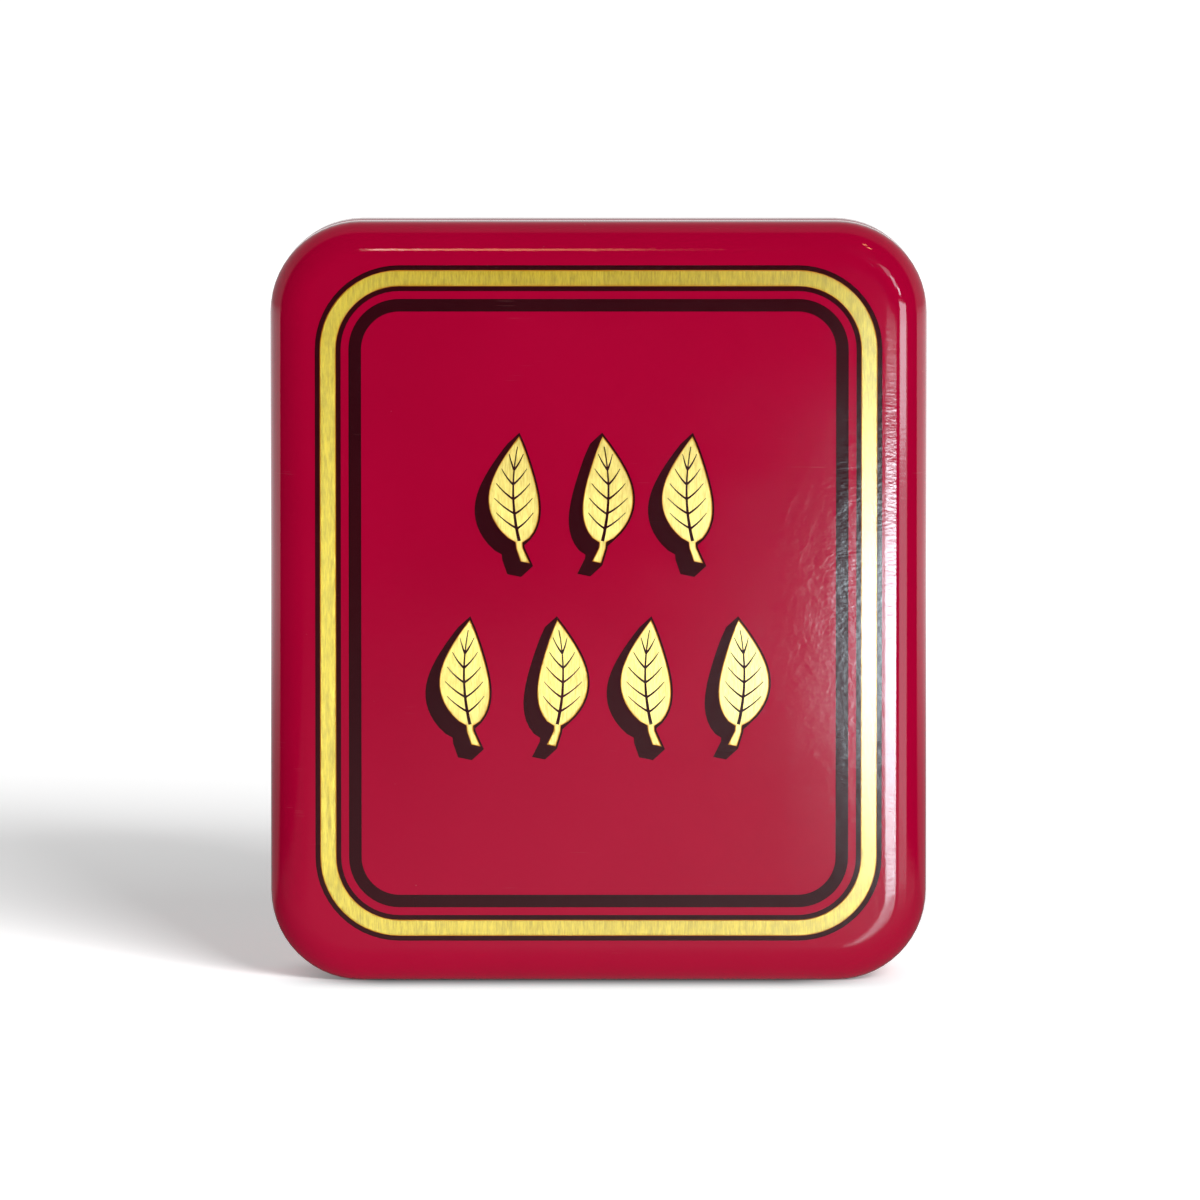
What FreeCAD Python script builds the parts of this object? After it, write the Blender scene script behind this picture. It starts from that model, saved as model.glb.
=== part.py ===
"""Flat rectangular tea tin with a slip lid, standing on its narrow side.

The lid is the front of the tin and the pan of the tin its back. Both are drawn
from tinplate over the same round-cornered outline, so that the lid's skirt and
the wall of the pan lie flush, with a narrow groove between the lid's curled rim
and the shoulder that the pan's wall steps in at. The tin is shut, so each piece
is a solid out to its outer face.

Frame: millimetres, +X along the front, +Z up, the lid's face towards -Y, and the
origin below the middle of the tin on the surface that it stands on.
"""
import FreeCAD, Part
import math
import os

import Sketcher

SHEET = "Sizes"

# Driving dimensions: alias in the sheet, millimetres, what it is.
DIMENSIONS = (
    ("overall_width", 82.0, "side to side"),
    ("overall_height", 95.0, "from the surface it stands on to the top"),
    ("overall_depth", 24.0, "from the lid's face to the back of the pan"),
    ("corner_radius", 11.3, "corners of the outline, seen from the front"),
    ("lid_depth", 10.0, "from the lid's face to the rim of its skirt"),
    ("lid_rounding", 4.75, "edge all round the lid's face"),
    ("pan_rounding", 4.75, "edge all round the back of the pan"),
    ("rim_rounding", 0.6, "outside of the curled rim of the lid"),
    ("shoulder_rounding", 0.5, "outside of the pan's shoulder"),
    ("seam_gap", 0.5, "width of the groove between rim and shoulder"),
    ("seam_inset", 1.0, "depth of that groove"),
)

# The sketch's own origin point and the ends of its lines and arcs.
ORIGIN = (-1, 1)
START = 1
END = 2

# Inset of a sketch that runs along the outline itself.
NO_INSET = "0"

# How near two depths are to count as the same one.
SAME_DEPTH = 1e-4


def make_sheet(doc):
    """Spreadsheet that every size below is bound to."""
    sheet = doc.addObject("Spreadsheet::Sheet", SHEET)
    for row, (alias, value, meaning) in enumerate(DIMENSIONS, start=1):
        sheet.set(f"A{row}", alias)
        sheet.set(f"B{row}", str(value))
        sheet.set(f"C{row}", meaning)
        sheet.setAlias(f"B{row}", alias)
    doc.recompute()
    return sheet


def rounded_rectangle(width, top, bottom, radius):
    """The eight edges of the outline: each side, then the corner after it."""
    half = width / 2
    inner = half - radius
    high = top - radius
    low = bottom + radius
    point = FreeCAD.Vector
    quarter = math.pi / 2
    sides = (
        (point(-inner, bottom), point(inner, bottom)),
        (point(half, low), point(half, high)),
        (point(inner, top), point(-inner, top)),
        (point(-half, high), point(-half, low)),
    )
    corners = (point(inner, low), point(inner, high), point(-inner, high), point(-inner, low))
    edges = []
    for turn, (side, corner) in enumerate(zip(sides, corners), start=-1):
        circle = Part.Circle(corner, point(0, 0, 1), radius)
        edges.append(Part.LineSegment(*side))
        edges.append(Part.ArcOfCircle(circle, turn * quarter, (turn + 1) * quarter))
    return edges


def outline_sketch(body, name, sheet, inset, offset):
    """The tin's outline drawn in by inset, in a plane at offset in front of the middle.

    inset and offset are expressions in the sheet's aliases.
    """
    sketch = body.newObject("Sketcher::SketchObject", name)
    planes = {feature.Role: feature for feature in body.Origin.OriginFeatures}
    sketch.AttachmentSupport = [(planes["XZ_Plane"], "")]
    sketch.MapMode = "FlatFace"
    sketch.setExpression("AttachmentOffset.Base.z", offset)

    width = sheet.overall_width
    height = sheet.overall_height
    radius = sheet.corner_radius
    sketch.addGeometry(rounded_rectangle(width, height, 0, radius), False)
    bottom, right, top, left = 0, 2, 4, 6
    first_corner, count = 1, 8
    for edge in range(count):
        joint = (edge, END, (edge + 1) % count, START)
        sketch.addConstraint(Sketcher.Constraint("Tangent", *joint))
    for side in (bottom, top):
        sketch.addConstraint(Sketcher.Constraint("Horizontal", side))
    for side in (right, left):
        sketch.addConstraint(Sketcher.Constraint("Vertical", side))
    for corner in range(first_corner + 2, count, 2):
        sketch.addConstraint(Sketcher.Constraint("Equal", first_corner, corner))

    driving = (
        ("radius", Sketcher.Constraint("Radius", first_corner, radius), f"{SHEET}.corner_radius - {inset}"),
        ("width", Sketcher.Constraint("DistanceX", left, START, right, START, width),
         f"{SHEET}.overall_width - 2 * {inset}"),
        ("height", Sketcher.Constraint("DistanceY", bottom, START, top, START, height),
         f"{SHEET}.overall_height - 2 * {inset}"),
        ("right", Sketcher.Constraint("DistanceX", *ORIGIN, right, START, width / 2),
         f"{SHEET}.overall_width / 2 - {inset}"),
        ("top", Sketcher.Constraint("DistanceY", *ORIGIN, top, START, height),
         f"{SHEET}.overall_height - {inset}"),
    )
    for label, constraint, expression in driving:
        index = sketch.addConstraint(constraint)
        sketch.renameConstraint(index, label)
        sketch.setExpression(f"Constraints.{label}", expression)
    return sketch


def pad_outline(body, name, sketch, length, backwards):
    """Pad of the outline, towards the back of the tin or towards its front."""
    pad = body.newObject("PartDesign::Pad", name)
    pad.Profile = sketch
    pad.Reversed = backwards
    pad.setExpression("Length", length)
    body.Document.recompute()
    return pad


def round_edges(body, name, base, depth, radius):
    """Fillet of every edge of base that lies in the plane y = depth."""
    picked = []
    for number, edge in enumerate(base.Shape.Edges, start=1):
        box = edge.BoundBox
        if abs(box.YMin - depth) < SAME_DEPTH and abs(box.YMax - depth) < SAME_DEPTH:
            picked.append(f"Edge{number}")
    if not picked:
        raise RuntimeError(f"{name}: no edge at y = {depth:.3f}")
    fillet = body.newObject("PartDesign::Fillet", name)
    fillet.Base = (base, picked)
    fillet.setExpression("Radius", radius)
    body.Document.recompute()
    return fillet


def new_body(doc, label):
    """Body of one piece, which stays where it is drawn."""
    body = doc.addObject("PartDesign::Body", label)
    body.Label = label
    body.Placement = FreeCAD.Placement()
    return body


def make_lid(doc, sheet):
    """Lid: its face, the rounded edge round the face, the skirt and its curled rim."""
    front = -sheet.overall_depth / 2
    rim = front + sheet.lid_depth
    body = new_body(doc, "lid")
    offset = f"{SHEET}.overall_depth / 2 - {SHEET}.lid_depth"
    outline = outline_sketch(body, "lid_outline", sheet, NO_INSET, offset)
    skirt = pad_outline(body, "lid_skirt", outline, f"{SHEET}.lid_depth", False)
    face = round_edges(body, "lid_edge", skirt, front, f"{SHEET}.lid_rounding")
    round_edges(body, "lid_rim", face, rim, f"{SHEET}.rim_rounding")
    return body


def make_pan(doc, sheet):
    """Pan: the back of the tin, its shoulder, and the neck that goes into the lid."""
    back = sheet.overall_depth / 2
    shoulder = -back + sheet.lid_depth + sheet.seam_gap
    body = new_body(doc, "tin_pan")
    offset = f"{SHEET}.overall_depth / 2 - {SHEET}.lid_depth - {SHEET}.seam_gap"
    outline = outline_sketch(body, "pan_outline", sheet, NO_INSET, offset)
    length = f"{SHEET}.overall_depth - {SHEET}.lid_depth - {SHEET}.seam_gap"
    wall = pad_outline(body, "pan_wall", outline, length, True)
    edge = round_edges(body, "pan_edge", wall, back, f"{SHEET}.pan_rounding")
    round_edges(body, "pan_shoulder", edge, shoulder, f"{SHEET}.shoulder_rounding")
    throat = outline_sketch(body, "neck_outline", sheet, f"{SHEET}.seam_inset", offset)
    pad_outline(body, "pan_neck", throat, f"{SHEET}.seam_gap", False)
    return body


def check_document(doc):
    """Stop when any object of the document has failed."""
    for item in doc.Objects:
        if "Invalid" in item.State or "Error" in item.State:
            raise RuntimeError(f"{item.Name} failed: {item.State}")


def check_piece(body):
    """Stop when a piece isn't one sound solid."""
    shape = body.Shape
    if shape.isNull() or not shape.isValid() or len(shape.Solids) != 1:
        raise RuntimeError(f"{body.Label} isn't one valid solid")


def main():
    os.makedirs("parts", exist_ok=True)
    doc = FreeCAD.newDocument("TeaTin")
    sheet = make_sheet(doc)
    bodies = (make_lid(doc, sheet), make_pan(doc, sheet))
    doc.recompute()
    check_document(doc)
    for body in bodies:
        check_piece(body)
    for body in bodies:
        body.Shape.exportStep(f"parts/{body.Label}.step")
        box = body.Shape.optimalBoundingBox()
        print(f"{body.Label}: volume {body.Shape.Volume:.1f} mm3, "
              f"x {box.XMin:.2f}..{box.XMax:.2f}, y {box.YMin:.2f}..{box.YMax:.2f}, "
              f"z {box.ZMin:.2f}..{box.ZMax:.2f}")


main()
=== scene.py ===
"""Looks of the shut tea tin: red lacquered lid and pan, gold and black print.

Metres, in the frame of the solids: +X along the front, +Z up, the lid's face
towards -Y. Every piece is worked out from the boxes of the two solids and the
sizes named below.
"""
import math

import bmesh
import bpy
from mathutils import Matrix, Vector, geometry

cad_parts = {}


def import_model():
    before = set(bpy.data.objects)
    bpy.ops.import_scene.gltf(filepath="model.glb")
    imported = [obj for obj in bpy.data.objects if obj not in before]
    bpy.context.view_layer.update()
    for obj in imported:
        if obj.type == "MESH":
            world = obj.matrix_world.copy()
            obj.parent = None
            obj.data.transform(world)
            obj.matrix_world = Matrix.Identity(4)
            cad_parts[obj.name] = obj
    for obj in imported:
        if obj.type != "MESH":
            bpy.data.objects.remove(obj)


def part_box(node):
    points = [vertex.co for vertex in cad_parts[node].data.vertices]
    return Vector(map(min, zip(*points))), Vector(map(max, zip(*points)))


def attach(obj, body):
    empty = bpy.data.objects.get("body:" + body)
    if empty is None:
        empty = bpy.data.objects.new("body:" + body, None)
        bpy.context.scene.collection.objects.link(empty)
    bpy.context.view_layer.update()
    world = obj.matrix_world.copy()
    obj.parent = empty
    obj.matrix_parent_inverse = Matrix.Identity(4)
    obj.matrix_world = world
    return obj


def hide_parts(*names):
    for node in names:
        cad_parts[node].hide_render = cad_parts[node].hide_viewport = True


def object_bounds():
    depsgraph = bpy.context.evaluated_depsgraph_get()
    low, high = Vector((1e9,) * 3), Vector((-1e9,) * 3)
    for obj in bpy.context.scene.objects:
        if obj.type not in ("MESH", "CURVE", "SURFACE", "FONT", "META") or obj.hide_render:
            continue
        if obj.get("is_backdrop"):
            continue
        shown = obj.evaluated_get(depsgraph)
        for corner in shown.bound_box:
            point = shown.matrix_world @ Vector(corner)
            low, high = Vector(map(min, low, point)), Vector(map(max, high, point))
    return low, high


MM = 0.001

# ---------------------------------------------------------------- the tin's sizes
CORNER = 11.3 * MM            # corners of the outline, seen from the front
EDGE = 4.75 * MM              # rounding all round the lid's face and the pan's back
CURL = 0.6 * MM               # rounding of the lid's curled rim
SHOULDER = 0.5 * MM           # rounding of the pan's shoulder
GROOVE = 0.5 * MM             # width of the groove between rim and shoulder
GROOVE_DEPTH = 1.0 * MM
CROWN = 0.18 * MM             # how far a face's edge lies behind its middle
FACE_ROOM = 0.06 * MM         # the face's middle behind the front of the solid
SMALLEST_CORNER = 0.4 * MM    # corner left on the innermost rings of a face

# ---------------------------------------------------------------- how finely it is meshed
CORNER_STEPS = 14             # round each corner of an outline
SIDE_STEP = 2.5 * MM          # about how long the steps along its sides are
EDGE_STEPS = 14               # over the rounded edge of a face
CURL_STEPS = 6                # over the curled rim, and over the shoulder
FACE_RINGS = 12               # across a face, inside its rounded edge
FACE_CORE = 5 * MM            # half the width of the innermost of those rings
FACE_CROWDING = 1.6           # above 1, the rings crowd towards the edge
SAME_POINT = 1e-7             # points of a mesh nearer than this become one

# ---------------------------------------------------------------- the printed border
BORDER_HALF_WIDTH = 35.34 * MM
BORDER_HALF_HEIGHT = 42.20 * MM
BORDER_CORNER = 10.5 * MM
THIN_LINE = 0.75 * MM
GOLD_BAND = 1.72 * MM
RED_GAP = 0.97 * MM
THICK_LINE = 1.57 * MM
OVERLAP = 0.03 * MM           # how far the gold lies over the lines beside it
FRINGE = 0.11 * MM            # how far its yellow lacquer runs out past the gold

# How proud each layer of ink stands on the lacquer, and how deep its slab goes in.
LINE_LIFT = 0.012 * MM
FRINGE_LIFT = 0.015 * MM
GOLD_LIFT = 0.018 * MM
VEIN_LIFT = 0.024 * MM
SLAB_DEPTH = 0.05 * MM
SLAB_CREASE = 30              # degrees past which a slab's edge is left sharp
INSIDE_ONLY = 1               # asks the triangulation for the shapes' insides and no more
SAME_SPOT = 1e-8              # corners of shapes nearer than this become one

# ---------------------------------------------------------------- the printed leaves
UPPER_ROW = {"count": 3, "pitch": 10.8 * MM, "above_middle": 12.95 * MM}
LOWER_ROW = {"count": 4, "pitch": 11.3 * MM, "above_middle": -9.96 * MM}
ROWS_SHIFT = 0.7 * MM         # how far right of the border's middle both rows stand
LEAF_HEIGHT = 15.4 * MM
LEAF_OUTLINE = 0.36 * MM
SHADE_DROP = (-1.5 * MM, -1.37 * MM)    # from a leaf to the end of its block shade
SHARPEST = 0.35               # keeps the tips of a swollen shape from running far out

BLADE_STEPS = 18
BLADE_HALF = 3.0 * MM         # half its greatest width
BLADE_LOWNESS = 0.72          # below 1, that lies nearer the foot than the tip
BLADE_FULLNESS = 0.92         # below 1, the outline is rounder than a sine wave
BLADE_BEND = 0.55 * MM        # how far the middle of the blade swings sideways
BEND_WAVES = 1.25             # half waves of that swing along the blade
BEND_START = -0.15            # where in a half wave the foot of the blade lies

STALK = 2.3 * MM              # stalk below the blade
STALK_HALF = 0.30 * MM        # half its width
STALK_FOOT_HALF = 0.42 * MM   # the same at its foot
STALK_SWING = 0.9 * MM        # how far its foot stands to one side
STALK_BEND = 0.25 * MM        # how far its middle bends to the other
STALK_CUT = (0.12 * MM, -0.05 * MM)     # heights of the slanting cut, left and right
STALK_END = 0.08              # share of the blade that the stalk reaches into

RIB_SHARES = (0.02, 0.46, 0.92)         # start, middle and end of the midrib
RIB_WIDTH = 0.42 * MM
RIB_STEPS = 12
VEIN_SHARES = (0.14, 0.28, 0.42, 0.56, 0.70)    # where the pairs of side veins start
VEIN_WIDTH = 0.29 * MM
VEIN_STEPS = 6
VEIN_RISE = 0.15              # share of the blade that a side vein climbs
VEIN_REACH = 0.80             # how far out it goes, as a share of the blade's half width
VEIN_SAG = 0.35 * MM          # how far its middle hangs below a straight line
VEIN_TAPER = 0.75             # share of its width that a vein has lost at its tip

# ---------------------------------------------------------------- colours and grain
RED = (0.366, 0.0006, 0.0285, 1)
DEEP_RED = (0.345, 0.0004, 0.026, 1)
YELLOW = (0.50, 0.21, 0.008, 1)
DEEP_YELLOW = (0.38, 0.13, 0.006, 1)
BLACK = (0.034, 0.0028, 0.0055, 1)
DEEP_BLACK = (0.028, 0.0024, 0.005, 1)
GOLD = (0.385, 0.265, 0.004, 1)
PALE_GOLD = (0.66, 0.455, 0.010, 1)
LEAF_GOLD = (0.49, 0.340, 0.045, 1)
PALE_LEAF_GOLD = (0.74, 0.515, 0.095, 1)
DUST = (0.55, 0.35, 0.33, 1)
BARE_TINPLATE = (0.42, 0.38, 0.35, 1)

# Lumps of noise to the metre, the same all round or along X, Y and Z.
PEEL_GRAIN = 900              # the lacquer's fine orange peel
PEBBLE_GRAIN = (1100, 1100, 2800)
SWELL_GRAIN = 160
STREAK_GRAIN = (60, 60, 1400)
PATCH_GRAIN = 55              # duller and glossier patches
TINT_GRAIN = 38               # paler and deeper patches
SPECK_GRAIN = 520             # specks of dust, their ragged outlines and where they gather
RAGGED_GRAIN = 9000
DUSTY_GRAIN = 190
HAIR_GRAIN = (150, 150, 5200)     # hair scratches, and where they gather
SCRATCHED_GRAIN = 120
RUBBED_GRAIN = 170            # nicks along the lips, and their fine crumbling
CRUMB_GRAIN = 1500
FINE_TIN_GRAIN = (5200, 5200, 700)
COARSE_TIN_GRAIN = (2800, 2800, 380)

# How high pebbles, swell and streaks stand, where the orange peel is 1.
PEBBLE_HEIGHT = 0.8
SWELL_HEIGHT = 2.0
STREAK_HEIGHT = 0.35
LACQUER_BUMP = 0.007 * MM
GOLD_BUMP = 0.010 * MM
WEAR_REACH = 0.6 * MM         # how far from a lip its lacquer is rubbed through

# ---------------------------------------------------------------- what the lacquer mirrors
# Softboxes as the shiny floor shows them, below the horizon: from and to in degrees right of
# straight ahead, brightness, and the downward slopes where each starts, is full, fades and ends.
FLOOR_GLOWS = (
    {"left": 2.4, "right": 21, "brightness": 36.0, "slopes": (0.054, 0.065, 0.080, 0.104)},
    {"left": 30, "right": 54, "brightness": 2.5, "slopes": (0.030, 0.050, 0.093, 0.106)},
)
GLOW_COLOUR = (0.78, 0.98, 1.05, 1)
GLOW_START = (-0.006, 0.014)  # how far left and right of its left side a glow comes up, in radians
GLOW_END = (-0.03, 0.03)      # the same at its right side, where it goes out
GLOW_TAIL = 0.22              # brightness left below a glow's main part
TAIL_SLOPES = (0.14, 0.30)    # downward slopes between which that tail fades out
HORIZON = (-0.006, -0.002)    # upward slopes between which the floor ends and the walls start
WHITE = (1, 1, 1, 1)
DIM_FRONT = 0.004             # brightness of the surroundings in front of the tin
FRONT_TO_BACK = (-0.12, 0.10)     # backward slopes between which they turn to white
OVERHEAD = (0.1, 0.9)         # upward slopes between which they get darker again
OVERHEAD_LEFT = 0.4           # brightness left straight above
OFF_FLOOR = (0.0, 0.05)       # upward slopes over which they get darker, just above the floor's end
OFF_FLOOR_LEFT = 0.5          # brightness left above that
FILL = 0.12                   # even light from all round

FRONT_MIRRORED = 0.42         # how much of the strip of floor in front the lacquer mirrors
STRIP_SIDES = (0.17, 0.22)    # how far to each side that strip starts to fade, and ends
STRIP_ROOTS = (0.3, 1.0)      # square roots of how far ahead it starts to fade, and ends
STRIP_FOOT = (8 * MM, 35 * MM)          # how far ahead it starts to come up, and is full
STRIP_FOOT_LEFT = 0.4         # how much of it is left nearer than that
STRIP_ACROSS = (-80 * MM, 30 * MM)      # where it starts to come up from left to right, and is full
STRIP_ACROSS_LEFT = 0.3       # how much of it is left on the left
BACK_MIRRORED = 0.3           # how much of the floor close behind the tin the lacquer mirrors
BACK_START = (0.0, 0.05)      # how far back from the tin's middle that starts, and is full
BACK_RADII = (0.15, 0.9)      # distances between which it grows to the whole

# ---------------------------------------------------------------- floor
FLOOR_REACH = 14.0            # half the length of its sides
FLOOR_WHITE = (0.93, 0.93, 0.93, 1)
FLOOR_LIFT = 0.42             # light that the floor itself gives off round the tin
LIFT_RADII = (0.10, 0.8)      # distances from the tin's middle between which it grows to 1
FLOOR_BOUNCE = 0.30           # light that the floor beside the tin throws up at it
BOUNCE_RADII = (0.04, 0.15)   # distances between which that fades out
COOLER = (0.82, 1, 1, 1)      # painted cool tint of the floor's light, which takes out the red light the tin throws on it
REDDENED_RADII = (25 * MM, 75 * MM)     # distances between which that fades out
REDDENED_DEPTHS = (-12 * MM, 4 * MM)    # and from front to back
CONTACT_SHADE = 0.85          # share of the floor's light taken away right beside the tin, a painted shadow
CONTACT_SHADOW_COLOUR = (0.10, 0.115, 0.115, 1)    # colour of that painted shadow on the floor
CONTACT_REACH = 20 * MM       # how far out from the tin's foot this ends
CONTACT_FALL = 2.2            # above 1, most of it lies close to the foot
CONTACT_LEFT = (-42 * MM, -26 * MM)     # where along the foot it comes up
CONTACT_RIGHT = (22 * MM, 40 * MM)      # and where it fades out

# ---------------------------------------------------------------- lamps
NEUTRAL = (1, 1, 1)
COOL = (0.82, 0.90, 1.0)
WARM = (1.0, 0.50, 0.20)
WIDE_BOX = (1.0, 0.66)
SQUARE_BOX = (1.0, 1.0)

# Name, what it is turned to, azimuth and elevation in degrees, distance, width and height,
# power in watts, colour, and what it lights if that isn't everything.
UNMIRRORED_LAMPS = (
    ("main_box", "middle", 20, 20, 3.0, WIDE_BOX, 60.0, NEUTRAL, None),
    ("upper_box", "middle", 20, 35, 3.0, SQUARE_BOX, 12.0, NEUTRAL, None),
    ("floor_box", "middle", 20, 20, 3.0, WIDE_BOX, 66.0, NEUTRAL, "floor"),
    ("back_left_box", "middle", 222, 22, 3.0, WIDE_BOX, 34.0, NEUTRAL, "tin"),
    ("back_right_box", "middle", 138, 22, 3.0, WIDE_BOX, 34.0, NEUTRAL, "tin"),
    ("top_box", "middle", 180, 72, 3.0, WIDE_BOX, 26.0, NEUTRAL, "tin"),
)
MIRRORED_LAMPS = (
    ("window", "foot", 41, 4.7, 1.0, (0.34, 0.137), 1.22, COOL, None),
    ("window_core", "upper_right", 38.9, 10.0, 1.0, (0.07, 0.085), 0.26, COOL, None),
    ("window_shoulder", "upper_right", 34.5, 14.5, 1.0, (0.12, 0.13), 0.34, COOL, "lid"),
    ("window_head", "upper_right", 31, 20, 1.0, (0.18, 0.15), 0.22, COOL, "lid"),
    ("warm_strip", "top", -0.6, 30, 1.5, (0.075, 0.15), 0.26, WARM, "lid"),
    ("cool_spot", "top_left", -1.2, 30, 1.5, (0.012, 0.12), 0.06, COOL, "lid"),
    ("warm_spot_high", "top_right", 40, 55, 1.5, (0.10, 0.05), 0.34, WARM, "lid"),
    ("warm_spot_low", "top_right", 40, 49, 1.5, (0.10, 0.05), 0.3, WARM, "lid"),
)

# ---------------------------------------------------------------- camera
LENS = 358.1                  # focal length and width of the sensor, in millimetres
SENSOR = 36
VIEW_DISTANCE = 1.5
VIEW_RISE = 3.82              # degrees above level
VIEW_SHIFT = (0.18 * MM, 0, -0.34 * MM)     # from the tin's middle to what it looks at
FARTHEST = 50


# ---------------------------------------------------------------- outlines
def side_counts(half_width, half_height):
    """How many even steps of about SIDE_STEP go along a rectangle's width and its height."""
    return round(2 * half_width / SIDE_STEP), round(2 * half_height / SIDE_STEP)


def round_rectangle(half_width, half_height, radius, counts):
    """Points (x, z) of a rectangle with round corners about the middle, anticlockwise.

    counts gives the steps along the bottom and along a side, so that rings of
    different sizes have the same number of points.
    """
    across, up = counts
    flat_x = half_width - radius
    flat_z = half_height - radius
    sides = (
        ((-flat_x, -half_height), (flat_x, -half_height), across, (flat_x, -flat_z), -90),
        ((half_width, -flat_z), (half_width, flat_z), up, (flat_x, flat_z), 0),
        ((flat_x, half_height), (-flat_x, half_height), across, (-flat_x, flat_z), 90),
        ((-half_width, flat_z), (-half_width, -flat_z), up, (-flat_x, -flat_z), 180),
    )
    points = []
    for (x0, z0), (x1, z1), count, (cx, cz), start in sides:
        for step in range(count):
            share = step / count
            points.append((x0 + (x1 - x0) * share, z0 + (z1 - z0) * share))
        for step in range(CORNER_STEPS):
            angle = math.radians(start + 90 * step / CORNER_STEPS)
            points.append((cx + radius * math.cos(angle), cz + radius * math.sin(angle)))
    return points


# ---------------------------------------------------------------- the tin's surface
class Tin:
    """The tin's outer form, from the boxes of its two solids."""

    def __init__(self):
        lid_low, lid_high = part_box("lid")
        pan_low, pan_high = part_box("tin_pan")
        self.half_width = (lid_high[0] - lid_low[0]) / 2
        self.half_height = (lid_high[2] - lid_low[2]) / 2
        self.middle = (lid_high[2] + lid_low[2]) / 2
        self.front = lid_low[1]
        self.rim = lid_high[1]
        self.shoulder = pan_low[1] + GROOVE
        self.back = pan_high[1]
        self.counts = side_counts(self.half_width, self.half_height)

    def ring(self, inset, y):
        """Points of the outline drawn in by inset, at depth y."""
        radius = max(CORNER - inset, SMALLEST_CORNER)
        half_width = self.half_width - inset
        half_height = self.half_height - inset
        flat = round_rectangle(half_width, half_height, radius, self.counts)
        return [Vector((x, y, self.middle + z)) for x, z in flat]

    def sag(self, x, z):
        """How far the crowned face lies behind its middle at (x, z from the middle)."""
        across = min(1.0, (x / (self.half_width - EDGE)) ** 2)
        up = min(1.0, (z / (self.half_height - EDGE)) ** 2)
        return CROWN * (1 - (1 - across) * (1 - up))

    def on_face(self, x, z, lift, side):
        """Point of a face, lifted off it: side is -1 for the lid's, +1 for the pan's."""
        face = self.front if side < 0 else self.back
        y = face - side * (FACE_ROOM + self.sag(x, z) - lift)
        return Vector((x, y, self.middle + z))

    def face_ring(self, inset, side):
        """Ring of the crowned face, drawn in by inset from the tin's outline."""
        return [self.on_face(p.x, p.z - self.middle, 0, side) for p in self.ring(inset, 0)]


def mesh_piece(name, points, faces, material, crease=180):
    """Object of one mesh, facing outwards and smooth but for edges bent past crease degrees."""
    mesh = bpy.data.meshes.new(name)
    mesh.from_pydata([tuple(p) for p in points], [], faces)
    made = bmesh.new()
    made.from_mesh(mesh)
    bmesh.ops.remove_doubles(made, verts=made.verts, dist=SAME_POINT)
    bmesh.ops.recalc_face_normals(made, faces=made.faces)
    made.to_mesh(mesh)
    made.free()
    mesh.shade_smooth()
    mesh.set_sharp_from_angle(angle=math.radians(crease))
    mesh.materials.append(material)
    piece = bpy.data.objects.new(name, mesh)
    bpy.context.scene.collection.objects.link(piece)
    return piece


def lofted(name, rings, material):
    """Closed mesh through rings of equal length, with the first and the last filled."""
    count = len(rings[0])
    points = [p for ring in rings for p in ring]
    faces = [tuple(range(count)), tuple(range(len(points) - count, len(points)))]
    for low in range(0, len(points) - count, count):
        for side in range(count):
            after = (side + 1) % count
            faces.append((low + side, low + after, low + count + after, low + count + side))
    return mesh_piece(name, points, faces, material)


def face_insets(tin):
    """Insets of a face's rings, from near its middle out to where its edge starts."""
    span = tin.half_width - FACE_CORE - EDGE
    return [EDGE + span * (1 - step / FACE_RINGS) ** FACE_CROWDING for step in range(FACE_RINGS)]


def quarter_turn(steps):
    """Sine and cosine from 0 to 90 degrees, both ends included."""
    for step in range(steps + 1):
        angle = math.radians(90 * step / steps)
        yield math.sin(angle), math.cos(angle)


def rounded_edge(tin, side):
    """Rings round the edge of a face, from the face out to the wall."""
    face = tin.front if side < 0 else tin.back
    start = face - side * (FACE_ROOM + CROWN)
    depth = EDGE - FACE_ROOM - CROWN
    for sine, cosine in quarter_turn(EDGE_STEPS):
        yield tin.ring(EDGE * (1 - sine), start - side * depth * (1 - cosine))


def make_lid(tin, material):
    """Lid: crowned face, rounded edge, skirt and curled rim."""
    rings = [tin.face_ring(inset, -1) for inset in face_insets(tin)]
    rings += rounded_edge(tin, -1)
    wall_end = tin.rim - CURL
    rings.append(tin.ring(0, (tin.front + EDGE + wall_end) / 2))
    for sine, cosine in quarter_turn(CURL_STEPS):
        rings.append(tin.ring(CURL * (1 - cosine), wall_end + CURL * sine))
    rings.append(tin.ring(GROOVE_DEPTH + CURL, tin.rim))
    return lofted("lid_shell", rings, material)


def make_pan(tin, material):
    """Pan: neck in the lid's rim, shoulder, wall, rounded edge and crowned back."""
    rings = [tin.ring(GROOVE_DEPTH, tin.rim), tin.ring(GROOVE_DEPTH, tin.shoulder)]
    for sine, cosine in quarter_turn(CURL_STEPS):
        rings.append(tin.ring(SHOULDER * (1 - sine), tin.shoulder + SHOULDER * (1 - cosine)))
    rings.append(tin.ring(0, (tin.shoulder + SHOULDER + tin.back - EDGE) / 2))
    rings += reversed(list(rounded_edge(tin, 1)))
    rings += [tin.face_ring(inset, 1) for inset in reversed(face_insets(tin))]
    return lofted("pan_shell", rings, material)


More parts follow.
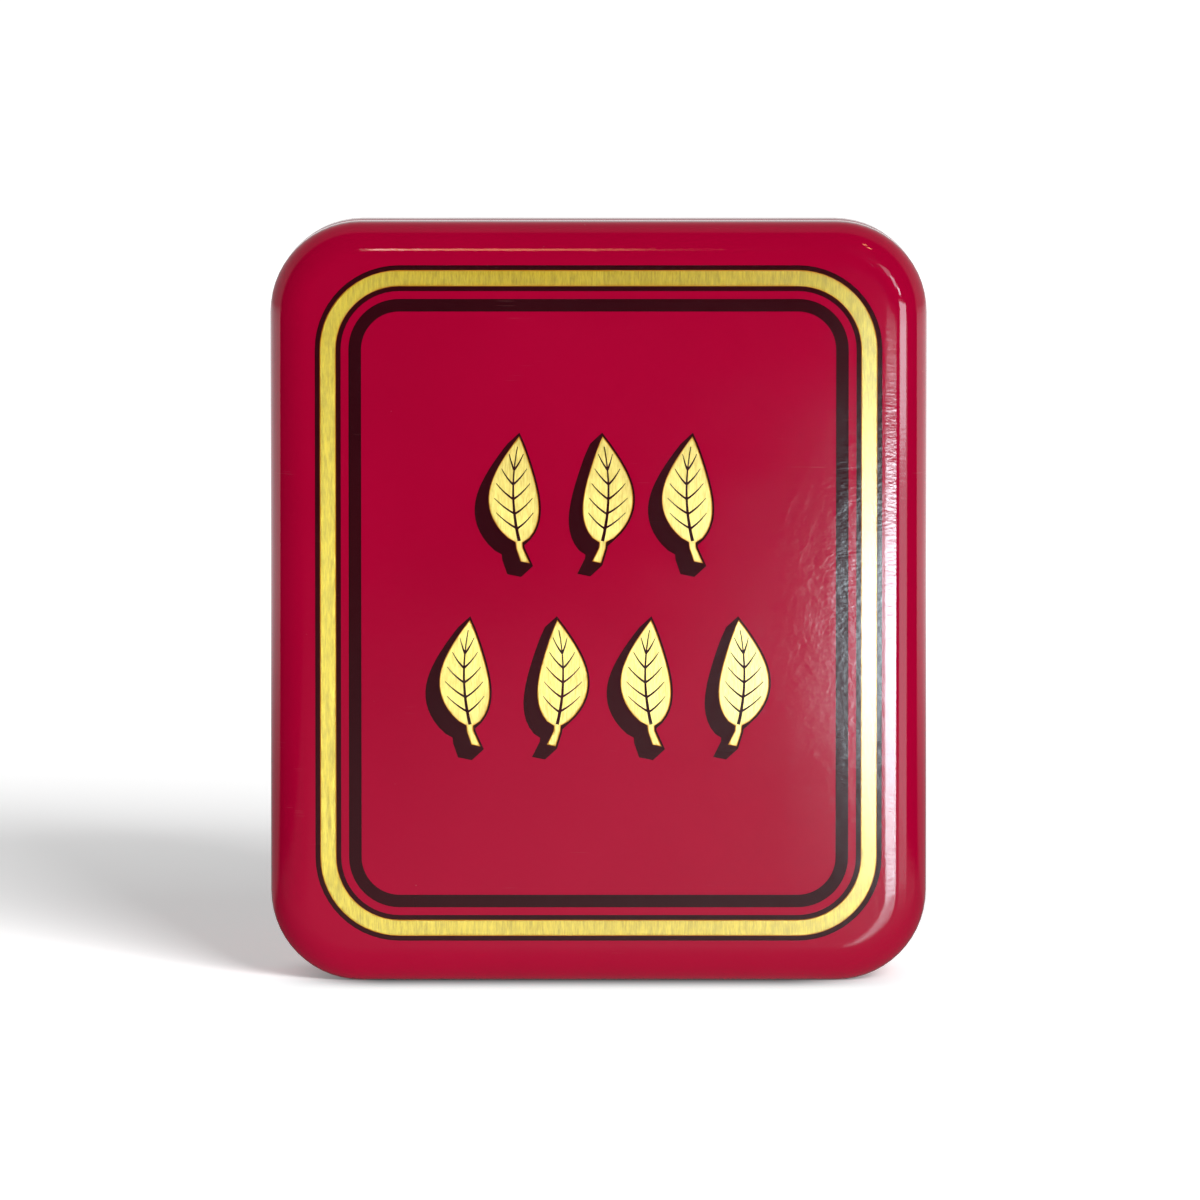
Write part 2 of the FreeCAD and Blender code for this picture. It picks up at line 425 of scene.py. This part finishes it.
# ---------------------------------------------------------------- print as thin slabs
def band(name, tin, outer_inset, inner_inset, lift, side, material):
    """Closed slab between two insets of the border's outline."""
    counts = side_counts(BORDER_HALF_WIDTH, BORDER_HALF_HEIGHT)
    section = (
        (outer_inset, -SLAB_DEPTH),
        (outer_inset, lift),
        (inner_inset, lift),
        (inner_inset, -SLAB_DEPTH),
    )
    rings = []
    for inset, height in section:
        half_width = BORDER_HALF_WIDTH - inset
        half_height = BORDER_HALF_HEIGHT - inset
        flat = round_rectangle(half_width, half_height, BORDER_CORNER - inset, counts)
        rings.append([tin.on_face(x, z, height, side) for x, z in flat])
    count = len(rings[0])
    points = [p for ring in rings for p in ring]
    faces = []
    for ring in range(len(section)):
        low = ring * count
        high = (ring + 1) % len(section) * count
        for step in range(count):
            after = (step + 1) % count
            faces.append((low + step, low + after, high + after, high + step))
    return mesh_piece(name, points, faces, material, SLAB_CREASE)


def slab(name, tin, shapes, lift, side, material):
    """Closed slab over the union of flat shapes, each a list of (x, z)."""
    corners = []
    outlines = []
    for shape in shapes:
        start = len(corners)
        corners += shape
        outlines.append(list(range(start, len(corners))))
    flat = geometry.delaunay_2d_cdt(corners, [], outlines, INSIDE_ONLY, SAME_SPOT)
    spots = flat[0]
    triangles = flat[2]
    top = [tin.on_face(p.x, p.y, lift, side) for p in spots]
    bottom = [tin.on_face(p.x, p.y, -SLAB_DEPTH, side) for p in spots]
    count = len(spots)
    faces = [tuple(t) for t in triangles]
    faces += [tuple(count + i for i in reversed(t)) for t in triangles]
    directed = {(t[i], t[(i + 1) % 3]) for t in triangles for i in range(3)}
    for start, end in directed:
        if (end, start) not in directed:
            faces.append((end, start, count + start, count + end))
    return mesh_piece(name, top + bottom, faces, material, SLAB_CREASE)


def blade_spine(share, lean):
    """Point on a leaf's midrib, from the foot of its blade at 0 to its tip at 1."""
    low = -LEAF_HEIGHT / 2 + STALK
    height = (LEAF_HEIGHT - STALK) * share
    swing = math.sin(math.pi * (BEND_WAVES * share + BEND_START))
    return Vector((lean * BLADE_BEND * swing, low + height))


def blade_half(share):
    """Half the width of the blade at a share of its length."""
    return BLADE_HALF * math.sin(math.pi * share ** BLADE_LOWNESS) ** BLADE_FULLNESS


def blade(lean):
    """Outline of a leaf's blade, anticlockwise: foot, right edge, tip, left edge."""
    right = []
    left = []
    for step in range(1, BLADE_STEPS):
        share = step / BLADE_STEPS
        middle = blade_spine(share, lean)
        half = Vector((blade_half(share), 0))
        right.append(middle + half)
        left.append(middle - half)
    return [blade_spine(0, lean)] + right + [blade_spine(1, lean)] + left[::-1]


def stalk(lean):
    """Outline of the stalk, a little wider at its cut foot, reaching into the blade."""
    foot = Vector((-lean * STALK_SWING, -LEAF_HEIGHT / 2))
    top = blade_spine(STALK_END, lean)
    bend = (foot + top) / 2 + Vector((lean * STALK_BEND, 0))
    half = Vector((STALK_HALF, 0))
    cut_left, cut_right = STALK_CUT
    foot_left = foot + Vector((-STALK_FOOT_HALF, cut_left))
    foot_right = foot + Vector((STALK_FOOT_HALF, cut_right))
    return [foot_left, foot_right, bend + half, top + half, top - half, bend - half]


def sliver(start, middle, end, width, steps):
    """Thin pointed strip along a bent line, widest at its start."""
    right = []
    left = []
    for step in range(steps + 1):
        share = step / steps
        point = start * (1 - share) ** 2 + middle * 2 * share * (1 - share) + end * share ** 2
        along = (middle - start) * (1 - share) + (end - middle) * share
        across = Vector((along.y, -along.x)).normalized()
        half = width / 2 * (1 - VEIN_TAPER * share)
        right.append(point + across * half)
        left.append(point - across * half)
    return right + left[::-1]


def veins(lean):
    """Midrib and paired side veins of a leaf."""
    start, middle, end = (blade_spine(share, lean) for share in RIB_SHARES)
    knee = middle * 2 - (start + end) / 2
    shapes = [sliver(start, knee, end, RIB_WIDTH, RIB_STEPS)]
    for share in VEIN_SHARES:
        root = blade_spine(share, lean)
        reach = share + VEIN_RISE
        for side in (-1, 1):
            tip = blade_spine(reach, lean) + Vector((side * blade_half(reach) * VEIN_REACH, 0))
            knee = (root + tip) / 2 - Vector((0, VEIN_SAG))
            shapes.append(sliver(root, knee, tip, VEIN_WIDTH, VEIN_STEPS))
    return shapes


def swollen(shape, by):
    """A flat anticlockwise shape with every edge moved outwards by a distance."""
    grown = []
    for number, corner in enumerate(shape):
        before = (corner - shape[number - 1]).normalized()
        after = (shape[(number + 1) % len(shape)] - corner).normalized()
        normal = Vector((before.y + after.y, -before.x - after.x)).normalized()
        sharpness = max(SHARPEST, normal.dot(Vector((before.y, -before.x))))
        grown.append(corner + normal * by / sharpness)
    return grown


def shifted(shape, by):
    """A flat shape moved by a distance."""
    return [point + Vector(by) for point in shape]


def swept(shape, by):
    """Shapes that together cover a flat shape on its way to a shifted place."""
    covering = [shape, shifted(shape, by)]
    for number, corner in enumerate(shape):
        before = shape[number - 1]
        covering.append([before, corner, corner + Vector(by), before + Vector(by)])
    return covering


def leaf_places():
    """Middle of each leaf from the border's middle, and the side that it leans to."""
    for row in (UPPER_ROW, LOWER_ROW):
        for number in range(row["count"]):
            x = (number - (row["count"] - 1) / 2) * row["pitch"] + ROWS_SHIFT
            yield (x, row["above_middle"]), 1 if number % 2 else -1


def make_leaves(tin, gold, fringe, black):
    """Rows of leaves: black outline with its block shade, gold leaf on its fringe, black veins."""
    made = []
    for number, (place, lean) in enumerate(leaf_places(), start=1):
        golden = [blade(lean), stalk(lean)]
        shade = []
        for shape in golden:
            shade += swept(swollen(shape, LEAF_OUTLINE), SHADE_DROP)
        lacquered = [swollen(shape, FRINGE) for shape in golden]
        layers = (
            ("shade", shade, LINE_LIFT, black),
            ("fringe", lacquered, FRINGE_LIFT, fringe),
            ("gold", golden, GOLD_LIFT, gold),
            ("veins", veins(lean), VEIN_LIFT, black),
        )
        for layer, shapes, lift, material in layers:
            placed = [shifted(shape, place) for shape in shapes]
            made.append(slab(f"leaf_{layer}_{number}", tin, placed, lift, -1, material))
    return made


def make_border(tin, side, gold, fringe, black):
    """Border of a face: thin line, gold band on its fringe, thin line, gap, thick line."""
    where = "front" if side < 0 else "back"
    gold_start = THIN_LINE
    gold_end = gold_start + GOLD_BAND
    inner_end = gold_end + THIN_LINE
    thick_start = inner_end + RED_GAP
    thick_end = thick_start + THICK_LINE
    spread = OVERLAP + FRINGE
    layers = (
        ("line_outer", 0, gold_start, LINE_LIFT, black),
        ("band_fringe", gold_start - spread, gold_end + spread, FRINGE_LIFT, fringe),
        ("band_gold", gold_start - OVERLAP, gold_end + OVERLAP, GOLD_LIFT, gold),
        ("line_inner", gold_end, inner_end, LINE_LIFT, black),
        ("line_thick", thick_start, thick_end, LINE_LIFT, black),
    )
    made = []
    for layer, outer_inset, inner_inset, lift, material in layers:
        made.append(band(f"{where}_{layer}", tin, outer_inset, inner_inset, lift, side, material))
    return made


# ---------------------------------------------------------------- node helpers
# A mix node's first input and its output for colours and for numbers, by their places: the
# sockets of every kind have the same names.
MIX_SOCKETS = {"RGBA": (6, 2), "FLOAT": (2, 0)}


class Nodes:
    """Short way to add and join nodes in one tree."""

    def __init__(self, tree):
        self.tree = tree

    def add(self, kind, **settings):
        """New node with some of its settings changed."""
        node = self.tree.nodes.new(kind)
        for name, value in settings.items():
            setattr(node, name, value)
        return node

    def join(self, source, target):
        """Link from an output to an input."""
        self.tree.links.new(source, target)

    def feed(self, socket, value):
        """Give an input a number or a colour, or link an output to it."""
        if isinstance(value, (int, float, tuple)):
            socket.default_value = value
        else:
            self.join(value, socket)

    def place(self):
        """Where the shaded point lies, in the frame of its object."""
        return self.add("ShaderNodeTexCoord").outputs["Object"]

    def axes(self, vector):
        """The X, Y and Z of a vector."""
        node = self.add("ShaderNodeSeparateXYZ")
        self.join(vector, node.inputs[0])
        return [node.outputs[axis] for axis in "XYZ"]

    def math(self, operation, *values):
        """Result of one operation on numbers and outputs."""
        node = self.add("ShaderNodeMath", operation=operation)
        for socket, value in zip(node.inputs, values):
            self.feed(socket, value)
        return node.outputs[0]

    def product(self, *values):
        """All the values multiplied together."""
        total = values[0]
        for value in values[1:]:
            total = self.math("MULTIPLY", total, value)
        return total

    def ramp(self, value, low, high, to_low=0.0, to_high=1.0, smooth=True):
        """Change from to_low to to_high while the value goes from low to high."""
        node = self.add("ShaderNodeMapRange", interpolation_type="SMOOTHSTEP" if smooth else "LINEAR")
        self.join(value, node.inputs["Value"])
        node.inputs["From Min"].default_value = low
        node.inputs["From Max"].default_value = high
        node.inputs["To Min"].default_value = to_low
        node.inputs["To Max"].default_value = to_high
        return node.outputs["Result"]

    def noise(self, vector, scale, detail=2, roughness=0.5):
        """Cloudy noise from 0 to 1, of one scale or of one for each axis."""
        if isinstance(scale, tuple):
            stretch = self.add("ShaderNodeMapping")
            self.join(vector, stretch.inputs["Vector"])
            stretch.inputs["Scale"].default_value = scale
            vector = stretch.outputs["Vector"]
            scale = 1
        node = self.add("ShaderNodeTexNoise")
        self.join(vector, node.inputs["Vector"])
        node.inputs["Scale"].default_value = scale
        node.inputs["Detail"].default_value = detail
        node.inputs["Roughness"].default_value = roughness
        return node.outputs["Fac"]

    def mix(self, share, first, second, kind="RGBA"):
        """Mix of two colours, or of two numbers (kind FLOAT), by a share of the second."""
        start, result = MIX_SOCKETS[kind]
        node = self.add("ShaderNodeMix", data_type=kind)
        self.join(share, node.inputs[0])
        self.feed(node.inputs[start], first)
        self.feed(node.inputs[start + 1], second)
        return node.outputs[result]

    def bump(self, shader, height, strength, distance):
        """Unevenness of a shader's surface."""
        node = self.add("ShaderNodeBump")
        node.inputs["Strength"].default_value = strength
        node.inputs["Distance"].default_value = distance
        self.join(height, node.inputs["Height"])
        self.join(node.outputs["Normal"], shader.inputs["Normal"])


def cleared_nodes(owner):
    """The nodes of a material or a world, with the ones that it came with taken out."""
    owner.use_nodes = True
    owner.node_tree.nodes.clear()
    return Nodes(owner.node_tree)


def new_group(name, inputs, outputs):
    """Empty shader node group with named number inputs and outputs."""
    group = bpy.data.node_groups.new(name, "ShaderNodeTree")
    for label, default in inputs:
        socket = group.interface.new_socket(label, in_out="INPUT", socket_type="NodeSocketFloat")
        socket.default_value = default
    for label in outputs:
        group.interface.new_socket(label, in_out="OUTPUT", socket_type="NodeSocketFloat")
    tree = Nodes(group)
    return group, tree, tree.add("NodeGroupInput").outputs, tree.add("NodeGroupOutput").inputs


# ---------------------------------------------------------------- materials
def lacquer_surface_group():
    """Fine orange peel, faint level streaks, dust specks and hair scratches of stoved lacquer."""
    group, tree, given, out = new_group(
        "lacquer_surface",
        (("Peel", 1.0), ("Streaks", 1.0), ("Dust", 1.0)),
        ("Height", "Roughness change", "Specks"),
    )
    place = tree.place()
    peel = tree.noise(place, PEEL_GRAIN, detail=3, roughness=0.55)
    pebbled = tree.math("MULTIPLY_ADD", tree.noise(place, PEBBLE_GRAIN), PEBBLE_HEIGHT, peel)
    fine_height = tree.product(pebbled, given["Peel"])
    swollen_height = tree.math("MULTIPLY_ADD", tree.noise(place, SWELL_GRAIN), SWELL_HEIGHT, fine_height)
    streak = tree.noise(place, STREAK_GRAIN, detail=3, roughness=0.6)
    streaks = tree.product(streak, given["Streaks"])
    tree.join(tree.math("MULTIPLY_ADD", streaks, STREAK_HEIGHT, swollen_height), out["Height"])

    patchy = tree.noise(place, PATCH_GRAIN, detail=4, roughness=0.6)
    tree.join(tree.math("MULTIPLY_ADD", streaks, 0.5, patchy), out["Roughness change"])

    cells = tree.add("ShaderNodeTexVoronoi")
    tree.join(place, cells.inputs["Vector"])
    cells.inputs["Scale"].default_value = SPECK_GRAIN
    raggedness = tree.noise(place, RAGGED_GRAIN, roughness=0.7)
    from_speck = tree.math("MULTIPLY_ADD", raggedness, 0.10, cells.outputs["Distance"])
    speck = tree.ramp(from_speck, 0.065, 0.10, 1, 0)
    dusty = tree.ramp(tree.noise(place, DUSTY_GRAIN, detail=1), 0.60, 0.74)
    hair = tree.ramp(tree.noise(place, HAIR_GRAIN, detail=1, roughness=0.4), 0.70, 0.76)
    scratched = tree.ramp(tree.noise(place, SCRATCHED_GRAIN), 0.60, 0.70)
    scratch = tree.product(hair, scratched)
    marks = tree.math("MULTIPLY_ADD", scratch, 0.25, tree.product(speck, dusty))
    tree.join(tree.product(marks, 0.35, given["Dust"]), out["Specks"])
    return group


def rim_wear_group(tin):
    """Nicks rubbed through the lacquer along the lips where lid and pan meet."""
    group, tree, given, out = new_group(
        "rim_wear",
        (("Lid rim", tin.rim), ("Pan shoulder", tin.shoulder), ("Reach", WEAR_REACH), ("Amount", 1.0)),
        ("Wear",),
    )
    place = tree.place()
    depth = tree.axes(place)[1]
    from_lid = tree.math("ABSOLUTE", tree.math("SUBTRACT", depth, given["Lid rim"]))
    from_pan = tree.math("ABSOLUTE", tree.math("SUBTRACT", depth, given["Pan shoulder"]))
    share = tree.math("DIVIDE", tree.math("MINIMUM", from_lid, from_pan), given["Reach"])
    lip = tree.ramp(share, 0.25, 1.0, 1, 0)
    rubbed = tree.ramp(tree.noise(place, RUBBED_GRAIN, detail=5, roughness=0.7), 0.57, 0.70)
    crumbling = tree.ramp(tree.noise(place, CRUMB_GRAIN, detail=3, roughness=0.6), 0.42, 0.58)
    tree.join(tree.product(lip, rubbed, crumbling, given["Amount"]), out["Wear"])
    return group


def principled(name):
    """New material of one Principled shader, with its nodes."""
    material = bpy.data.materials.new(name)
    tree = cleared_nodes(material)
    shader = tree.add("ShaderNodeBsdfPrincipled")
    output = tree.add("ShaderNodeOutputMaterial")
    tree.join(shader.outputs["BSDF"], output.inputs["Surface"])
    return material, tree, shader


def lacquer(name, colour, deep_colour, surface, wear=None):
    """Glossy lacquer of one colour, with the surface group's unevenness and rubbed lips."""
    material, tree, shader = principled(name)
    group = tree.add("ShaderNodeGroup", node_tree=surface)
    tint = tree.ramp(tree.noise(tree.place(), TINT_GRAIN, detail=3), 0.3, 0.7)
    body = tree.mix(tint, colour, deep_colour)
    coloured = tree.mix(group.outputs["Specks"], body, DUST)
    dullness = tree.ramp(group.outputs["Roughness change"], 0.3, 1.1, 0.04, 0.075, smooth=False)
    if wear:
        rubbed = tree.add("ShaderNodeGroup", node_tree=wear).outputs["Wear"]
        coloured = tree.mix(rubbed, coloured, BARE_TINPLATE)
        dullness = tree.math("MULTIPLY_ADD", rubbed, 0.30, dullness)
        tree.join(tree.product(rubbed, 0.85), shader.inputs["Metallic"])
    tree.join(coloured, shader.inputs["Base Color"])
    tree.join(dullness, shader.inputs["Roughness"])
    tree.bump(shader, group.outputs["Height"], strength=0.4, distance=LACQUER_BUMP)
    return material


def gold_ink(name, colour, pale_colour, surface):
    """Clear yellow lacquer over bare tinplate, whose fine upright grain shows through."""
    material, tree, shader = principled(name)
    place = tree.place()
    group = tree.add("ShaderNodeGroup", node_tree=surface)
    fine = tree.noise(place, FINE_TIN_GRAIN, detail=3, roughness=0.7)
    coarse = tree.noise(place, COARSE_TIN_GRAIN, detail=3, roughness=0.6)
    grain = tree.math("MULTIPLY_ADD", coarse, 0.5, tree.product(fine, 0.8))
    paleness = tree.ramp(grain, 0.46, 0.84)
    tree.join(tree.mix(paleness, colour, pale_colour), shader.inputs["Base Color"])
    shader.inputs["Metallic"].default_value = 0.3
    shader.inputs["Anisotropic"].default_value = 0.95
    shader.inputs["Coat Weight"].default_value = 1.0
    shader.inputs["Coat Roughness"].default_value = 0.095
    shader.inputs["Coat IOR"].default_value = 2.0
    tree.join(tree.ramp(grain, 0.35, 0.95, 0.225, 0.175), shader.inputs["Roughness"])
    height = tree.math("MULTIPLY_ADD", group.outputs["Height"], 0.08, grain)
    tree.bump(shader, height, strength=1.0, distance=GOLD_BUMP)
    return material


def make_materials(tin):
    """The finishes of the tin: red lacquer, black ink, two golds and their yellow fringe."""
    surface = lacquer_surface_group()
    wear = rim_wear_group(tin)
    return {
        "red": lacquer("red_lacquer", RED, DEEP_RED, surface, wear),
        "fringe": lacquer("yellow_lacquer", YELLOW, DEEP_YELLOW, surface),
        "black": lacquer("black_ink", BLACK, DEEP_BLACK, surface),
        "gold": gold_ink("gold_ink", GOLD, PALE_GOLD, surface),
        "leaf": gold_ink("pale_gold_ink", LEAF_GOLD, PALE_LEAF_GOLD, surface),
    }


# ---------------------------------------------------------------- surroundings
def floor_glow(tree, x, y, z):
    """Brightness of the softboxes' images in the floor, by direction from the tin."""
    azimuth = tree.math("ARCTAN2", x, tree.product(y, -1))
    down = tree.product(z, -1)
    glow = None
    for box in FLOOR_GLOWS:
        start, full, fade, end = box["slopes"]
        left = math.radians(box["left"])
        right = math.radians(box["right"])
        left_end = tree.ramp(azimuth, left + GLOW_START[0], left + GLOW_START[1])
        right_end = tree.ramp(azimuth, right + GLOW_END[0], right + GLOW_END[1], 1, 0)
        across = tree.product(left_end, right_end)
        upright = tree.product(tree.ramp(down, start, full), tree.ramp(down, fade, end, 1, GLOW_TAIL))
        shown = tree.product(across, upright, box["brightness"])
        glow = tree.math("ADD", shown, glow) if glow else shown
    return tree.product(glow, tree.ramp(down, *TAIL_SLOPES, 1, 0))


def make_world():
    """White surroundings behind the tin, dim ones in front, and an even fill."""
    world = bpy.data.worlds.new("studio")
    bpy.context.scene.world = world
    tree = cleared_nodes(world)
    path = tree.add("ShaderNodeLightPath").outputs
    x, y, z = tree.axes(tree.add("ShaderNodeTexCoord").outputs["Generated"])

    behind = tree.ramp(y, *FRONT_TO_BACK, DIM_FRONT, 1.0)
    overhead = tree.ramp(z, *OVERHEAD, 1.0, OVERHEAD_LEFT)
    off_floor = tree.ramp(z, *OFF_FLOOR, 1.0, OFF_FLOOR_LEFT)
    above = tree.product(overhead, off_floor, tree.ramp(z, *HORIZON))
    mirrored = tree.math("MULTIPLY_ADD", behind, above, floor_glow(tree, x, y, z))
    by_shine = tree.math("MAXIMUM", path["Is Glossy Ray"], path["Is Transmission Ray"])
    level = tree.mix(by_shine, FILL, mirrored, kind="FLOAT")
    below = tree.product(tree.ramp(z, *HORIZON, 1, 0), path["Is Glossy Ray"])

    background = tree.add("ShaderNodeBackground")
    tree.join(tree.mix(below, WHITE, GLOW_COLOUR), background.inputs["Color"])
    tree.join(tree.math("MAXIMUM", level, path["Is Camera Ray"]), background.inputs["Strength"])
    output = tree.add("ShaderNodeOutputWorld")
    tree.join(background.outputs[0], output.inputs["Surface"])


def mirrored_floor(tree, x, y, radius):
    """How much of the floor the lacquer mirrors: a strip in front of the tin, and what is behind it."""
    ahead = tree.product(y, -1)
    strip = tree.ramp(tree.math("ABSOLUTE", x), *STRIP_SIDES, 1, 0)
    fading = tree.ramp(tree.math("SQRT", ahead), *STRIP_ROOTS, FRONT_MIRRORED, 0)
    off_foot = tree.ramp(ahead, *STRIP_FOOT, STRIP_FOOT_LEFT, 1)
    rightwards = tree.ramp(x, *STRIP_ACROSS, STRIP_ACROSS_LEFT, 1)
    front = tree.product(strip, fading, tree.product(off_foot, rightwards))
    back = tree.product(tree.ramp(y, *BACK_START), tree.ramp(radius, *BACK_RADII, BACK_MIRRORED, 1))
    return tree.math("MAXIMUM", front, back)


def floor_light(tree, radius, path):
    """Light that the floor gives off by itself, which keeps shadows pale and the tin's foot lit."""
    lift = tree.ramp(radius, *LIFT_RADII, FLOOR_LIFT, 1)
    seen = tree.math("MAXIMUM", path["Is Glossy Ray"], path["Is Camera Ray"])
    bounce = tree.product(tree.ramp(radius, *BOUNCE_RADII, FLOOR_BOUNCE, 0), path["Is Diffuse Ray"])
    return tree.math("MULTIPLY_ADD", lift, seen, bounce)


def contact_shade(tree, tin, x, y, path):
    """Painted contact shadow: a dark strip of floor beside the tin's foot, which only the camera sees.
    """
    foot = -tin.front - EDGE
    beside = tree.math("SUBTRACT", tree.math("ABSOLUTE", y), foot)
    close = tree.math("POWER", tree.ramp(beside, 0, CONTACT_REACH, 1, 0), CONTACT_FALL)
    along = tree.product(tree.ramp(x, *CONTACT_LEFT), tree.ramp(x, *CONTACT_RIGHT, 1, 0))
    return tree.product(close, along, path["Is Camera Ray"])


def make_floor_material(tin):
    """White floor, which the lacquer mirrors in part: past that, it sees the softboxes' images."""
    material = bpy.data.materials.new("white_floor")
    tree = cleared_nodes(material)
    x, y, _ = tree.axes(tree.place())
    path = tree.add("ShaderNodeLightPath").outputs
    radius = tree.math("SQRT", tree.math("MULTIPLY_ADD", x, x, tree.product(y, y)))
    # painted contact shadow: darkens the floor's colour and its own light beside the tin's foot
    painted_contact_shadow = contact_shade(tree, tin, x, y, path)
    diffuse = tree.add("ShaderNodeBsdfDiffuse")
    tree.join(tree.mix(painted_contact_shadow, FLOOR_WHITE, CONTACT_SHADOW_COLOUR), diffuse.inputs["Color"])

    light = tree.add("ShaderNodeEmission")
    # painted correction: the floor's light is made cooler where the tin's red bounce light falls
    in_front = tree.ramp(y, *REDDENED_DEPTHS, 1, 0)
    reddened = tree.product(tree.ramp(radius, *REDDENED_RADII, 1, 0), in_front)
    tree.join(tree.mix(reddened, WHITE, COOLER), light.inputs["Color"])
    left_over = tree.math("MULTIPLY_ADD", painted_contact_shadow, -CONTACT_SHADE, 1.0)
    tree.join(tree.product(floor_light(tree, radius, path), left_over), light.inputs["Strength"])
    both = tree.add("ShaderNodeAddShader")
    tree.join(diffuse.outputs[0], both.inputs[0])
    tree.join(light.outputs[0], both.inputs[1])

    unseen = tree.math("SUBTRACT", 1.0, mirrored_floor(tree, x, y, radius))
    passing = tree.add("ShaderNodeMixShader")
    tree.join(tree.product(unseen, path["Is Glossy Ray"]), passing.inputs[0])
    tree.join(both.outputs[0], passing.inputs[1])
    tree.join(tree.add("ShaderNodeBsdfTransparent").outputs[0], passing.inputs[2])
    output = tree.add("ShaderNodeOutputMaterial")
    tree.join(passing.outputs[0], output.inputs["Surface"])
    return material


def make_floor(tin):
    """Wide white floor that keeps the tin's shadow."""
    mesh = bpy.data.meshes.new("floor")
    reach = FLOOR_REACH
    corners = [(-reach, -reach, 0), (reach, -reach, 0), (reach, reach, 0), (-reach, reach, 0)]
    mesh.from_pydata(corners, [], [(0, 1, 2, 3)])
    mesh.materials.append(make_floor_material(tin))
    floor = bpy.data.objects.new("floor", mesh)
    floor.location.z = tin.middle - tin.half_height
    bpy.context.scene.collection.objects.link(floor)
    floor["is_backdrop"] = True
    return floor


# ---------------------------------------------------------------- lamps and camera
def direction(azimuth, elevation):
    """Unit vector away from the tin: azimuth 0 is straight in front, positive to the right."""
    turn = math.radians(azimuth)
    rise = math.radians(elevation)
    level = math.cos(rise)
    return Vector((math.sin(turn) * level, -math.cos(turn) * level, math.sin(rise)))


def aim(thing, target):
    """Turn a lamp or camera so that it looks at target."""
    thing.rotation_euler = (Vector(target) - thing.location).to_track_quat("-Z", "Y").to_euler()


def softbox(name, target, azimuth, elevation, distance, size, power, colour):
    """Rectangular lamp that faces the target."""
    lamp = bpy.data.lights.new(name, "AREA")
    lamp.shape = "RECTANGLE"
    lamp.size, lamp.size_y = size
    lamp.energy = power
    lamp.color = colour
    made = bpy.data.objects.new(name, lamp)
    made.location = Vector(target) + direction(azimuth, elevation) * distance
    aim(made, target)
    made.visible_camera = False
    bpy.context.scene.collection.objects.link(made)
    return made


def make_lights(tin, receivers):
    """Softboxes that light the scene, and lamps that show only as marks on the tin."""
    side = tin.half_width
    top = tin.half_height
    spots = {
        "foot": (side - 3 * MM, -top),
        "upper_right": (side - 5 * MM, top - 8 * MM),
        "top": (-19 * MM, top - 4 * MM),
        "top_left": (10 * MM - side, top - 4 * MM),
        "top_right": (side - 7.4 * MM, top - 3.2 * MM),
    }
    targets = {spot: (x, tin.front, tin.middle + z) for spot, (x, z) in spots.items()}
    targets["middle"] = (0, 0, tin.middle)
    for lamps, mirrored in ((UNMIRRORED_LAMPS, False), (MIRRORED_LAMPS, True)):
        for name, spot, azimuth, elevation, distance, size, power, colour, lights in lamps:
            lamp = softbox(name, targets[spot], azimuth, elevation, distance, size, power, colour)
            lamp.visible_glossy = mirrored
            lamp.visible_diffuse = not mirrored
            if lights:
                lamp.light_linking.receiver_collection = receivers[lights]


def make_camera(tin):
    """Long lens in front of the tin, looking slightly down on it."""
    camera = bpy.data.cameras.new("camera")
    camera.lens = LENS
    camera.sensor_width = SENSOR
    camera.clip_end = FARTHEST
    made = bpy.data.objects.new("camera", camera)
    middle = Vector((0, 0, tin.middle))
    made.location = middle + direction(0, VIEW_RISE) * VIEW_DISTANCE
    aim(made, middle + Vector(VIEW_SHIFT))
    bpy.context.scene.collection.objects.link(made)
    bpy.context.scene.camera = made


# ---------------------------------------------------------------- the whole scene
def save_sizes(solids, looks):
    """Turn the box of the solids and the box of the looks into plain lists of numbers."""
    plain = {name: [[float(v) for v in corner] for corner in box]
             for name, box in (("cad", solids), ("visual", looks))}


def collected(name, pieces):
    """Collection of the pieces that some lamps are kept to."""
    collection = bpy.data.collections.new(name)
    for piece in pieces:
        collection.objects.link(piece)
    return collection


def main():
    """Put the looks over the solids, and the scene round them."""
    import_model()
    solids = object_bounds()
    tin = Tin()
    finish = make_materials(tin)
    lid = make_lid(tin, finish["red"])
    pan = make_pan(tin, finish["red"])
    inks = (finish["gold"], finish["fringe"], finish["black"])
    printed = make_border(tin, -1, *inks)
    printed += make_border(tin, 1, *inks)
    printed += make_leaves(tin, finish["leaf"], finish["fringe"], finish["black"])
    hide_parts("lid")
    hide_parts("tin_pan")
    for piece in [lid, pan] + printed:
        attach(piece, "root")
    floor = make_floor(tin)
    make_world()
    receivers = {
        "floor": collected("floor_only", [floor]),
        "tin": collected("tin_only", [lid, pan] + printed),
        "lid": collected("lid_only", [lid] + printed),
    }
    make_lights(tin, receivers)
    make_camera(tin)
    bpy.context.scene.view_settings.view_transform = "Standard"
    save_sizes(solids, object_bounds())


main()
